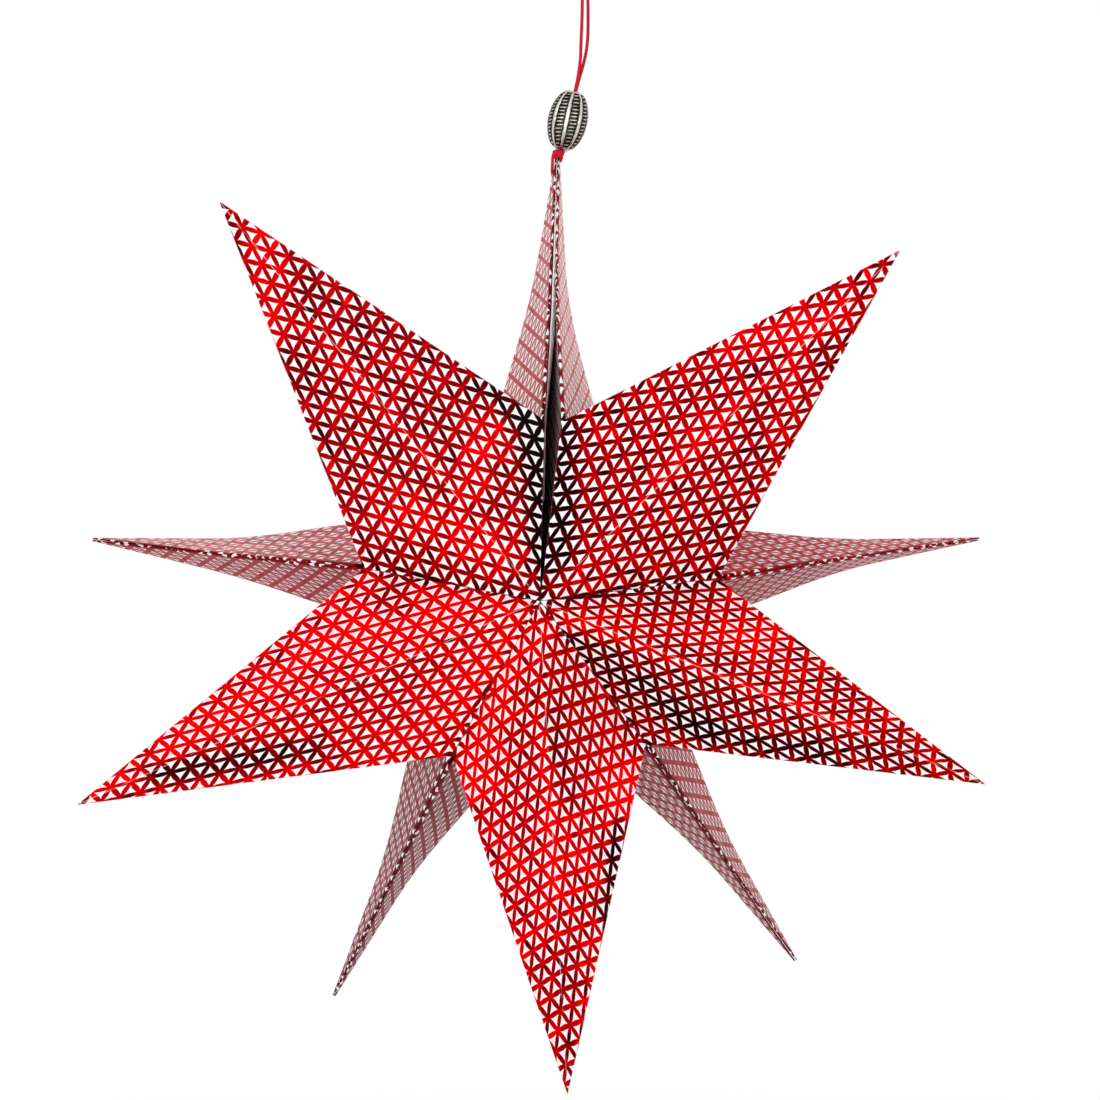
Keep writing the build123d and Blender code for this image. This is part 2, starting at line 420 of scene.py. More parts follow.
WHITE_PAPER = (0.92, 0.905, 0.905)
PINK_PAPER = (0.85, 0.58, 0.65)
PAPER_ROUGHNESS = 0.62
PAPER_BUMP = 0.00006
# Darker, duller copy of the foil, mixed in on the side faces as painted shade
SHADED_FOIL = (0.15, 0.010, 0.016)
SHADED_FOIL_ROUGHNESS = 0.6
SHADED_FOIL_GLOSS = 0.15
FOIL_ROUGHNESS = 0.34
FOIL_BUMP = 0.0012
GRAIN_SCALE = 24.0
GRAIN_SHARE = 0.02
WAVE_SCALE = 0.5
FOIL_STOPS = [
    (0.0, (0.006, 0.002, 0.002)),
    (0.25, (0.06, 0.0, 0.002)),
    (0.5, (0.26, 0.0, 0.002)),
    (0.75, (0.6, 0.0, 0.003)),
    (1.0, (1.0, 0.0, 0.002)),
]


def stroke_family(tree, along, across):
    """One direction of leaf-shaped strokes between the lattice's nodes, in lattice steps.

    Gives the depth inside a stroke, its leaf shape along its length and a chance number for it.
    """
    row_step = sqrt(3) / 2
    row = math_node(tree, "DIVIDE", across, row_step)
    nearest = math_node(tree, "ROUND", row)
    off_row = math_node(tree, "ABSOLUTE", math_node(tree, "SUBTRACT", row, nearest))
    off_row = math_node(tree, "MULTIPLY", off_row, row_step)
    shifted = math_node(tree, "MULTIPLY_ADD", nearest, 0.5, along)
    half_turn = math_node(tree, "MULTIPLY", math_node(tree, "FRACT", shifted), pi)
    leaf = math_node(tree, "SINE", half_turn)
    full = math_node(tree, "POWER", leaf, STROKE_FULLNESS)
    width = math_node(tree, "MULTIPLY_ADD", full, STROKE_MIDDLE - STROKE_END, STROKE_END)
    cell = tree.nodes.new("ShaderNodeCombineXYZ")
    tree.links.new(math_node(tree, "FLOOR", shifted), cell.inputs[0])
    tree.links.new(nearest, cell.inputs[1])
    chance = tree.nodes.new("ShaderNodeTexWhiteNoise")
    tree.links.new(cell.outputs[0], chance.inputs["Vector"])
    return math_node(tree, "SUBTRACT", width, off_row), leaf, chance.outputs["Value"]


def near_line(tree, flat, start, end, reach):
    """1 on a line of the card, falling to 0 at a reach from it."""
    line = Vector(end) - Vector(start)
    offset = vector_node(tree, "SUBTRACT", flat, (*start, 0))
    scaled = line / line.length_squared
    share = vector_node(tree, "DOT_PRODUCT", offset, (*scaled, 0))
    share = math_node(tree, "ADD", share, 0.0, clamp=True)
    foot = vector_node(tree, "SCALE", (*line, 0))
    tree.links.new(share, foot.node.inputs["Scale"])
    distance = vector_node(tree, "DISTANCE", offset, foot)
    return smooth_step(tree, distance, reach, 0.0)


def beyond_line(tree, flat, start, end, inner):
    """1 past a line of the card, on the side away from an inner place."""
    line = (Vector(end) - Vector(start)).normalized()
    out = Vector((-line.y, line.x))
    if (Vector(inner) - Vector(start)).dot(out) > 0:
        out = -out
    offset = vector_node(tree, "SUBTRACT", flat, (*start, 0))
    return smooth_step(tree, vector_node(tree, "DOT_PRODUCT", offset, (*out, 0)), 0.0, FACE_EDGE)


def side_masks(tree, flat, places):
    """1 on the faces past the front edges, for the halves before and after the middle fold."""
    masks = []
    for valley in places["valley"]:
        past_fold = beyond_line(tree, flat, places["tip"], valley, places["front"])
        parallel = Vector(valley) + Vector(places["tip"]) - Vector(places["front"])
        past_valley = beyond_line(tree, flat, valley, parallel, places["front"])
        masks.append(math_node(tree, "MAXIMUM", past_fold, past_valley))
    return masks


def foil_tone(tree, name, flat, families, side_face):
    """Tone of the foil from 0, black, to 1, bright red, with painted highlights and painted shade
    in it.
    """
    places = PRINT_PLACES[name]
    drift = noise_node(tree, flat, SLOW_DRIFT_SCALE, 1.0)
    tone = math_node(tree, "MULTIPLY_ADD", drift, SLOW_DRIFT, FOIL_TONE_AND_SHEEN[name] - SLOW_DRIFT / 2)
    # Painted highlights and painted shade: bright and dark streaks of the foil's tone
    for start, end, reach, change in FOIL_PAINTED_HIGHLIGHTS_AND_SHADE[name]:
        painted_light = near_line(tree, flat, start, end, reach)
        tone = math_node(tree, "MULTIPLY_ADD", painted_light, change, tone)
    for k, ((inside, leaf, chance), change) in enumerate(zip(families, STROKE_CHANGES)):
        middle = smooth_step(tree, inside, 0.0, STROKE_MIDDLE_DEPTH)
        middle = math_node(tree, "MULTIPLY", middle, leaf)
        shifted = vector_node(tree, "ADD", flat, (FAMILY_STEP * k, 0, 0))
        drift = noise_node(tree, shifted, FAMILY_DRIFT_SCALE, 1.0)
        least = change - STROKE_VARIETY / 2
        varied = math_node(tree, "MULTIPLY_ADD", chance, STROKE_VARIETY, least)
        varied = math_node(tree, "SUBTRACT", varied, FAMILY_DRIFT / 2)
        varied = math_node(tree, "MULTIPLY_ADD", drift, FAMILY_DRIFT, varied)
        tone = math_node(tree, "MULTIPLY_ADD", middle, varied, tone)
    cloud = noise_node(tree, flat, FOIL_CLOUD_SCALE, 1.0)
    tone = math_node(tree, "MULTIPLY_ADD", cloud, FOIL_CLOUD, tone)
    tone = math_node(tree, "SUBTRACT", tone, FOIL_DARKENING)
    side_cloud = noise_node(tree, flat, SIDE_CLOUD_SCALE, 2.0)
    side_tone = math_node(tree, "MULTIPLY_ADD", side_cloud, SIDE_CLOUD, SIDE_TONE - SIDE_CLOUD / 2)
    tone = math_node(tree, "MULTIPLY", tone, math_node(tree, "SUBTRACT", 1.0, side_face))
    tone = math_node(tree, "MULTIPLY_ADD", side_tone, side_face, tone)
    # Painted shade along the seams and along the valleys
    for k in (0, 1):
        valley, back_tip = places["valley"][k], places["back_tip"][k]
        seam = near_line(tree, flat, valley, back_tip, SEAM_SHADE_REACH)
        tone = math_node(tree, "MULTIPLY_ADD", seam, SEAM_SHADE[name][k], tone)
    for valley in places["valley"]:
        groove = near_line(tree, flat, places["front"], valley, VALLEY_SHADE_REACH)
        tone = math_node(tree, "MULTIPLY_ADD", groove, VALLEY_SHADE, tone)
    return math_node(tree, "MAXIMUM", tone, 0.0, clamp=True)


def printed_paper(name):
    """White card with a lattice of red foil strokes, with painted highlights and shade in streaks
    of the card.
    """
    material, tree = new_material("printed_paper_" + name)
    places = PRINT_PLACES[name]
    uv = tree.nodes.new("ShaderNodeUVMap")
    uv.uv_map = "print"
    flat = uv.outputs[0]
    families = []
    for k in range(3):
        angle = radians(60 * k)
        along = vector_node(tree, "DOT_PRODUCT", flat, (cos(angle), sin(angle), 0))
        across = vector_node(tree, "DOT_PRODUCT", flat, (-sin(angle), cos(angle), 0))
        families.append(stroke_family(tree, along, across))
    deepest = math_node(tree, "MAXIMUM", families[0][0], families[1][0])
    deepest = math_node(tree, "MAXIMUM", deepest, families[2][0])
    wave = math_node(tree, "SUBTRACT", noise_node(tree, flat, STROKE_WAVE_SCALE, 1.0), 0.5)
    deepest = math_node(tree, "MULTIPLY_ADD", wave, STROKE_WAVE, deepest)

    # Thinner strokes on the side faces, fuller ones at the seams, and cracks on the middle fold
    sides = side_masks(tree, flat, places)
    for k, side in enumerate(sides):
        deepest = math_node(tree, "MULTIPLY_ADD", side, SIDE_THINNING[name][k], deepest)
        at_seam = near_line(tree, flat, places["valley"][k], places["back_tip"][k], SEAM_REACH)
        deepest = math_node(tree, "MULTIPLY_ADD", at_seam, SEAM_FULLNESS, deepest)
    stroke = smooth_step(tree, deepest, -STROKE_SOFTNESS, STROKE_SOFTNESS)
    crack = near_line(tree, flat, places["front"], places["tip"], CRACK_REACH)
    patches = noise_node(tree, flat, CRACK_SCALE, 2.0)
    patches = smooth_step(tree, patches, *CRACK_PATCHES, 0.0, FOLD_WEAR)
    worn = math_node(tree, "MULTIPLY", crack, patches)
    stroke = math_node(tree, "MULTIPLY", stroke, math_node(tree, "SUBTRACT", 1.0, worn))

    # Foil, with a darker, duller copy mixed in on the side faces as painted shade
    side_face = math_node(tree, "MAXIMUM", *sides)
    foil_colour = ramp_node(tree, foil_tone(tree, name, flat, families, side_face), FOIL_STOPS)
    grain = noise_node(tree, flat, GRAIN_SCALE, 2.0)
    waves = noise_node(tree, flat, WAVE_SCALE, 2.0)
    relief = math_node(tree, "MULTIPLY_ADD", grain, GRAIN_SHARE, waves)
    foil_normal = bump_node(tree, relief, FOIL_BUMP)
    tint = (1.0, SHEEN_TINT[name], SHEEN_TINT[name] + SHEEN_BLUE, 1)
    foil = shader_node(
        tree, foil_colour, FOIL_ROUGHNESS, metallic=1.0, normal=foil_normal,
        **{"Specular Tint": tint},
    )
    shaded_foil = shader_node(
        tree, (*SHADED_FOIL, 1), SHADED_FOIL_ROUGHNESS, normal=foil_normal,
        **{"Specular IOR Level": SHADED_FOIL_GLOSS},
    )
    # Painted shade: share of the darker, duller foil on each side face
    shade_before, shade_after = SIDE_PAINTED_SHADE[name]
    side_shade = math_node(tree, "MULTIPLY", sides[0], shade_before)
    side_shade = math_node(tree, "MULTIPLY_ADD", sides[1], shade_after, side_shade, clamp=True)
    foil = mix_shaders(tree, side_shade, foil, shaded_foil)

    # Paper, pinker in the middle of its cells
    after_half = beyond_line(tree, flat, places["front"], places["tip"], places["valley"][0])
    pink_before, pink_after = PINK_SHARE[name]
    pink = math_node(tree, "MULTIPLY_ADD", after_half, pink_after - pink_before, pink_before)
    pink = math_node(tree, "MULTIPLY", smooth_step(tree, deepest, *PINK_EDGES), pink)
    paper_colour = mix_colour(tree, pink, (*WHITE_PAPER, 1), (*PINK_PAPER, 1))
    paper_normal = bump_node(tree, grain, PAPER_BUMP)
    paper = shader_node(tree, paper_colour, PAPER_ROUGHNESS, normal=paper_normal)
    set_surface(tree, mix_shaders(tree, stroke, paper, foil))
    return material


# Star points

def place(radius, angle, depth):
    """Point of the star at a distance from its axis, an angle round it and a depth."""
    turn = radians(angle)
    return STAR_AXIS + Vector((radius * cos(turn), depth - BACK_TIP_DEPTH, radius * sin(turn)))


def sideways(angle):
    turn = radians(angle)
    return Vector((-sin(turn), 0, cos(turn)))


def point_corners(name, index):
    """Corners of one star point; its seam edges end in a nose, where the card turns over."""
    before, after = SEAM_ANGLES[index], SEAM_ANGLES[index + 1]
    first, last = index == 0, index == len(FOLD_ANGLES) - 1
    axis_gap = SLIT_AXIS_GAP if first or last else GLUE_GAP
    axis_step = axis_gap / sin(radians(abs(before[0] - after[0]) / 2))
    middle = (before[0] + after[0]) / 2
    corners = {
        "front": place(axis_step, middle, 0),
        "tip": place(FRONT_TIP_RADIUS * TIP_REACH[name], FOLD_ANGLES[name], -FRONT_TIP_FORWARD),
        "back_valley": place(BACK_VALLEY_RADIUS, FOLD_ANGLES[name], BACK_VALLEY_DEPTH),
        "back": place(axis_step, middle, BACK_CENTRE_DEPTH),
    }
    for side, seam, way, slit in (("before", index, -1, first), ("after", index + 1, 1, last)):
        angles = SEAM_ANGLES[seam]
        tip_gap = SLIT_TIP_GAP if slit else GLUE_GAP
        drop = TIED_TIP_DROP if slit else 0
        valley = place(FRONT_VALLEY_RADIUS, angles[1], FRONT_VALLEY_DEPTH)
        valley += sideways(angles[1]) * GLUE_GAP * way
        reach = BACK_TIP_RADIUS - drop + BACK_TIP_REACH[seam]
        back_tip = place(reach, angles[0], BACK_TIP_DEPTH) + sideways(angles[0]) * tip_gap * way
        into = sideways(angles[0]) * way
        ridge = (back_tip - valley).normalized()
        forward = into.cross(ridge).normalized()
        if forward.y > 0:
            forward = -forward
        at_valley, at_tip = SLIT_NOSE_WIDTHS if first and side == "before" else NOSE_WIDTHS
        for key, corner, nose in (("valley", valley, at_valley), ("back_tip", back_tip, at_tip)):
            corners[key + "_in_" + side] = corner
            corners[key + "_out_" + side] = corner + into * nose
            height = forward * nose * NOSE_HEIGHT_SHARE
            corners[key + "_peak_" + side] = corner + into * nose / 2 + height
    return corners


def laid_flat(a, b, c, flat_a, flat_b, flat_other):
    """Place of corner c on the flat card, past the fold from a to b, away from another corner."""
    fold = b - a
    along = (c - a).dot(fold) / fold.length
    across = sqrt(max(0.0, (c - a).length_squared - along**2))
    direction = (flat_b - flat_a) / fold.length
    normal = Vector((-direction.y, direction.x))
    if (flat_other - flat_a).dot(normal) > 0:
        normal = -normal
    return flat_a + direction * along + normal * across


def facets_of(c, name, side):
    """Faces of one half of a star point, front to back, with their places on the print."""
    pair = ("before", "after").index(side)
    places = PRINT_PLACES[name]
    valley, peak, turned = "valley_out_" + side, "valley_peak_" + side, "valley_in_" + side
    tip, tip_peak, tip_in = "back_tip_out_" + side, "back_tip_peak_" + side, "back_tip_in_" + side
    flat = {
        "front": Vector(places["front"]),
        "tip": Vector(places["tip"]),
        valley: Vector(places["valley"][pair]),
        "back_valley": Vector(places["back_valley"][pair]),
        tip: Vector(places["back_tip"][pair]),
    }
    main = [("front", "tip", valley), ("tip", valley, "back_valley"), (valley, "back_valley", tip)]
    unfolded = [
        ("front", valley, peak, "tip"),
        ("front", peak, turned, valley),
        (valley, tip, peak, "back_valley"),
        (tip, peak, tip_peak, valley),
        (peak, tip_peak, turned, tip),
        (tip_peak, turned, tip_in, peak),
        ("back_valley", tip, "back", valley),
        (tip, "back", tip_peak, "back_valley"),
        (tip_peak, "back", tip_in, tip),
        (turned, tip_in, "back", tip_peak),
        (turned, "back", "front", tip_in),
    ]
    faces = [(corners, dict(flat)) for corners in main]
    for a, b, new, other in unfolded:
        known = {a: flat[a], b: flat[b]}
        known[new] = laid_flat(c[a], c[b], c[new], flat[a], flat[b], flat[other])
        faces.append(((a, b, new), known))
        if new != "front":
            flat[new] = known[new]
    return faces


def fold_edges(bm, pairs):
    return [e for e in (bm.edges.get(pair) for pair in pairs) if e is not None]


def bowed(bm, name, index):
    """Pulls the sides of the back tips in towards their seams, as the card bows."""
    for number, side in enumerate(("before", "after")):
        angle = SEAM_ANGLES[index + number][0]
        outward = place(1, angle, 0) - STAR_AXIS - Vector((0, -BACK_TIP_DEPTH, 0))
        into = sideways(angle) * (1 if number else -1)
        bow_start = SLIT_BOW_START if name == "upper_right" and side == "before" else BOW_START
        for v in bm.verts:
            offset = v.co - STAR_AXIS
            radius, lateral = offset.dot(outward), offset.dot(into)
            depth = offset.y + BACK_TIP_DEPTH
            behind = depth - FRONT_VALLEY_DEPTH - (radius - FRONT_VALLEY_RADIUS) * BOW_SLOPE
            if radius < bow_start or lateral > BOW_REACH or behind < 0:
                continue
            share = min(1.0, (radius - bow_start) / (BOW_FULL - bow_start))
            share = share * share * (3 - 2 * share)
            v.co -= into * lateral * SIDE_BOW[name][number] * share


def turned_lip(bm):
    """Turns the slit's right edge in towards the left one, along the outer part of the back tip."""
    corners = point_corners("upper_right", 0)
    tip, valley = corners["back_tip_in_before"], corners["valley_in_before"]
    start, full, fade, end = LIP_WINDOW
    for v in bm.verts:
        share = (v.co.z - valley.z) / (tip.z - valley.z)
        radius = (v.co - STAR_AXIS).xz.length
        near = 1 - (v.co - valley.lerp(tip, share)).length / LIP_REACH
        window = min(1.0, (radius - start) / (full - start), (end - radius) / (end - fade))
        if 0 < share < 1 and near > 0 and window > 0:
            v.co.x -= LIP_TURN_IN * window * min(1.0, 2 * near)


def star_point(name, index, material):
    c = point_corners(name, index)
    bm = bmesh.new()
    layer = bm.loops.layers.uv.new("print")
    verts = {}

    def vert(key):
        if key not in verts:
            verts[key] = bm.verts.new(c[key])
        return verts[key]

    for side in ("before", "after"):
        for corners, flat in facets_of(c, name, side):
            face = bm.faces.new([vert(key) for key in corners])
            for loop, key in zip(face.loops, corners):
                loop[layer].uv = flat[key]
    bmesh.ops.recalc_face_normals(bm, faces=bm.faces)
    front, tip, back_valley, back = (verts[key] for key in ("front", "tip", "back_valley", "back"))
    peaks, rims, folds = [], [], []
    for side in ("before", "after"):
        valley_peak, tip_peak = verts["valley_peak_" + side], verts["back_tip_peak_" + side]
        peaks += fold_edges(bm, [(front, valley_peak), (valley_peak, tip_peak), (tip_peak, back)])
        valley, back_tip = verts["valley_out_" + side], verts["back_tip_out_" + side]
        rims += fold_edges(bm, [(tip, valley)])
        folds += fold_edges(bm, [(valley, back_valley), (back_valley, back_tip)])
    folds += fold_edges(bm, [(front, tip), (tip, back_valley), (back_valley, back)])
    bmesh.ops.bevel(
        bm, geom=peaks, offset=NOSE_ROUNDING_PERCENT, offset_type="PERCENT",
        segments=ROUNDING_SEGMENTS, profile=0.5, material=-1, affect="EDGES", loop_slide=True,
    )
    for edges, rounding in ((rims, RIM_ROUNDING), (folds, FOLD_ROUNDING)):
        bmesh.ops.bevel(
            bm, geom=[e for e in edges if e.is_valid], offset=rounding, offset_type="OFFSET",
            segments=ROUNDING_SEGMENTS, profile=0.5, material=-1, affect="EDGES",
            clamp_overlap=True, loop_slide=True,
        )
    for _ in range(PAPER_CUTS):
        long_edges = [e for e in bm.edges if e.calc_length() > PAPER_CELL]
        bmesh.ops.subdivide_edges(bm, edges=long_edges, cuts=1, use_grid_fill=True)
    if name == "upper_right":
        turned_lip(bm)
    bowed(bm, name, index)
    piece = finished_piece("folded_point_" + name, bm, material)
    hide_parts("star_point_" + name)
    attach(piece, "star")


for number, name in enumerate(FOLD_ANGLES):
    star_point(name, number, printed_paper(name))

# End card: white flap in the closing slit, leaning away from the left wall
END_CARD_THICKNESS = 0.00035
END_CARD_WALL_GAP = 0.00015
END_CARD_WIDTH = 0.009
END_CARD_MIDDLE = 0.4
END_CARD_NEAR_LEAN = 0.25
END_CARD_MIDDLE_LEAN = 0.75
END_CARD_CURL = 0.6
END_CARD_FLAT_AREA = 4e-7

# Its stations along the seam: share of the way, how far it leans and how far it is set back
TIP_STATIONS = [
    (0.15, 0.0003, 0.0004), (0.24, 0.0006, 0.0004), (0.36, 0.0010, 0.0004), (0.52, 0.0014, 0.0008),
    (0.68, 0.0013, 0.0022), (0.80, 0.0008, 0.0070), (0.90, 0.0004, 0.0140),
]
AXIS_STATIONS = [
    (0.0, 0.0001, 0.0240), (0.25, 0.0001, 0.0260), (0.45, 0.0001, 0.0270), (0.62, 0.0001, 0.0280),
]

# Its uncoated white card
WHITE_CARD = (0.93, 0.92, 0.90)
WHITE_CARD_SHADE = 0.9
WHITE_CARD_ROUGHNESS = 0.7
WHITE_CARD_GRAIN_SCALE = 1500.0
WHITE_CARD_CLOUD_SCALE = 40.0
WHITE_CARD_BUMP = 0.00005


def white_card():
    """Uncoated white card with a fine grain."""
    material, tree = new_material("white_card")
    place_of = object_place(tree)
    grain = noise_node(tree, place_of, WHITE_CARD_GRAIN_SCALE, 3.0)
    cloud = noise_node(tree, place_of, WHITE_CARD_CLOUD_SCALE, 2.0)
    shade = tuple(WHITE_CARD_SHADE * c for c in WHITE_CARD)
    tint = mix_colour(tree, cloud, (*shade, 1), (*WHITE_CARD, 1))
    normal = bump_node(tree, grain, WHITE_CARD_BUMP)
    set_surface(tree, shader_node(tree, tint, WHITE_CARD_ROUGHNESS, normal=normal))
    return material


def end_card_flap():
    """Strip grown row by row from its tip to the star's middle, then thickened."""
    c = point_corners("upper_left", len(FOLD_ANGLES) - 1)
    tip, valley, front = c["back_tip_in_after"], c["valley_in_after"], c["front"]
    stations = []
    for start, end, rows in ((tip, valley, TIP_STATIONS), (valley, front, AXIS_STATIONS)):
        wall = (end - start).cross(c["back"] - start)
        backward = Vector((-wall.y / wall.x, 1, 0))
        for share, lean, set_back in rows:
            stations.append((start.lerp(end, share), backward, lean, set_back))
    bm = bmesh.new()
    edge = None
    for on_ridge, backward, lean, set_back in stations:
        off_wall = END_CARD_WALL_GAP + lean * END_CARD_NEAR_LEAN
        near = on_ridge + backward * set_back + Vector((off_wall, 0, 0))
        middle = near + backward * END_CARD_WIDTH * END_CARD_MIDDLE
        middle += Vector((lean * END_CARD_MIDDLE_LEAN, 0, 0))
        far = near + backward * END_CARD_WIDTH + Vector((lean, 0, 0))
        if edge is None:
            row = [bm.verts.new(co) for co in (near, middle, far)]
            edge = [bm.edges.new(row[0:2]), bm.edges.new(row[1:3])]
            continue
        grown = bmesh.ops.extrude_edge_only(bm, edges=edge)["geom"]
        edge = [g for g in grown if isinstance(g, bmesh.types.BMEdge)]
        fresh = [g for g in grown if isinstance(g, bmesh.types.BMVert)]
        fresh.sort(key=lambda v: v.co.y)
        for v, co in zip(fresh, (near, middle, far)):
            v.co = co
    bmesh.ops.subdivide_edges(
        bm, edges=bm.edges[:], cuts=2, smooth=END_CARD_CURL, use_grid_fill=True,
    )
    bmesh.ops.recalc_face_normals(bm, faces=bm.faces)
    bmesh.ops.solidify(bm, geom=bm.faces[:], thickness=END_CARD_THICKNESS)
    bmesh.ops.recalc_face_normals(bm, faces=bm.faces)
    for face in bm.faces:
        face.smooth = len(face.verts) == 4 and face.calc_area() > END_CARD_FLAT_AREA
    piece = finished_piece("end_card_flap", bm, white_card())
    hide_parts("end_card")
    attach(piece, "star")


end_card_flap()

# Cord: two strands from the knot up through the bead to the loop, as in the solids
CORD_DIAMETER = 0.0012
STRAND_SIDE = 0.00065
CORD_DARK = (0.38, 0.0, 0.010)
CORD_LIGHT = (0.56, 0.001, 0.022)
CORD_FIBRE_SCALE = 2600.0
CORD_CLOUD_SCALE = 300.0
CORD_BUMP = 0.0002
CORD_ROUGHNESS = 0.45
CORD_SHEEN = 0.04
CORD_GLOSS = 0.15
CORD_ROUTE = [
    (-0.00862, -STRAND_SIDE, -0.07700),
    (-0.00310, -STRAND_SIDE, -0.05350),
    (-0.00160, -STRAND_SIDE, -0.04400),
    (-0.00150, -STRAND_SIDE, -0.03810),
    (-0.00100, -STRAND_SIDE, -0.02720),
    (-0.00095, -STRAND_SIDE, -0.01740),
    (-0.00430, -0.00030, -0.00900),
    (-0.00430, 0.0, 0.00060),
    (0.00430, 0.0, 0.00060),
    (0.00430, 0.00030, -0.00900),
    (0.00095, STRAND_SIDE, -0.01740),
    (0.00120, STRAND_SIDE, -0.02720),
    (0.00100, STRAND_SIDE, -0.03810),
    (-0.00060, STRAND_SIDE, -0.04550),
    (-0.00310, STRAND_SIDE, -0.05350),
    (-0.00862, STRAND_SIDE, -0.07700),
]


def satin_cord():
    """Red satin cord with fine fibres."""
    material, tree = new_material("satin_cord")
    place_of = object_place(tree)
    fibres = noise_node(tree, place_of, CORD_FIBRE_SCALE, 3.0)
    cloud = noise_node(tree, place_of, CORD_CLOUD_SCALE, 1.0)
    colour = mix_colour(tree, cloud, (*CORD_DARK, 1), (*CORD_LIGHT, 1))
    shader = shader_node(
        tree, colour, CORD_ROUGHNESS, normal=bump_node(tree, fibres, CORD_BUMP),
        **{"Sheen Weight": CORD_SHEEN, "Specular IOR Level": CORD_GLOSS},
    )
    set_surface(tree, shader)
    return material


def cord_curve(name, route, radius, material):
    """Smooth cord along a list of control points."""
    curve = bpy.data.curves.new(name, "CURVE")
    curve.dimensions = "3D"
    curve.bevel_depth = radius
    curve.bevel_resolution = 4
    curve.use_fill_caps = True
    curve.resolution_u = 8
    spline = curve.splines.new("NURBS")
    spline.points.add(len(route) - 1)
    for point, co in zip(spline.points, route):
        point.co = (*co, 1)
    spline.order_u = 3
    spline.use_endpoint_u = True
    curve.materials.append(material)
    return linked_object(name, curve)


# Bead: barrel with sunken, blackened bands of rungs between plain ribs
BEAD_CENTRE = Vector((-0.00620716, 0, -0.0657048))
BEAD_UP = Vector((0.208904, 0, 0.977936))
BEAD_RADIUS = 0.0072
BEAD_HALF = 0.011
BEAD_ROUND = 0.0117
BORE_RADIUS = 0.0023

# Round its bore at each end: rings of the rim, as radius and share of the half length
BEAD_RIM = [(BORE_RADIUS, 0.94), (BORE_RADIUS + 0.0001, 0.975), (0.0026, 0.988), (0.0029, 0.978)]
BORE_WALL = BORE_RADIUS + 0.0003
RIM_WALL = BORE_RADIUS + 0.0005

# Bands and ribs round the bead, in steps of its turn, and the rungs in each band
BAND_COUNT = 9
BAND_STEPS = 9
RIB_STEPS = 4
BAND_TURN = -6.9
BAND_DEPTH = 0.0008
BAND_INSET = 0.00009
BAND_END_PITCHES = 0.7
RIB_SWELL = 0.00022
RUNG_COUNT = 15
RUNG_PITCH = 0.00130
RUNG_HEIGHT = 0.00038
RUNG_RISE = 0.00045
EDGE_ROUNDING = 0.0002
EDGE_ROUNDING_ANGLE = 40

# Worn silver with a painted sheen: how bright the rungs and rims are beside the ribs, and its
# colours
RUNG_SHINE = 0.66
RIM_SHINE = 0.6
CREST_WEAR_AND_SHEEN = 0.6
SILVER_DARK = (0.10, 0.09, 0.07)
SILVER_LIGHT = (0.66, 0.63, 0.555)
SILVER_ROUGHNESS = 0.26
BLACKENED_DARK = (0.012, 0.011, 0.009)
BLACKENED_LIGHT = (0.06, 0.055, 0.045)
BLACKENED_ROUGHNESS = 0.5
METAL_CLOUD_SCALE = 900.0
METAL_DENT_SCALE = 2200.0
METAL_TONES = (0.28, 0.6)
METAL_DENTS = (0.3, 0.7)
METAL_ROUGHNESS_CHANGE = (-0.08, 0.1)
METAL_BUMP = 0.00007


def metal_finish(name, dark, light, roughness, worn=0.0):
    """Metal with a cloudy tone and small dents, its crests brighter as wear and as a painted
    highlight.
    """
    material, tree = new_material(name)
    place_of = object_place(tree)
    cloud = noise_node(tree, place_of, METAL_CLOUD_SCALE, 3.0)
    dents = noise_node(tree, place_of, METAL_DENT_SCALE, 2.0)
    # Brighter crests and darker sides: partly wear, partly painted highlight and painted shade
    crest = tree.nodes.new("ShaderNodeAttribute")
    crest.attribute_name = "crest"
    raised = math_node(tree, "SUBTRACT", crest.outputs["Fac"], 0.5)
    shine = math_node(tree, "MULTIPLY_ADD", raised, worn, cloud)
    colour = mix_colour(tree, smooth_step(tree, shine, *METAL_TONES), (*dark, 1), (*light, 1))
    smoother, rougher = (roughness + change for change in METAL_ROUGHNESS_CHANGE)
    rough = smooth_step(tree, dents, *METAL_DENTS, smoother, rougher)
    heights = math_node(tree, "MULTIPLY_ADD", cloud, 0.5, dents)
    normal = bump_node(tree, heights, METAL_BUMP)
    set_surface(tree, shader_node(tree, colour, rough, metallic=1.0, normal=normal))
    return material


def barrel_radius(height):
    return BEAD_RADIUS * sqrt(1 - (height / BEAD_ROUND) ** 2)


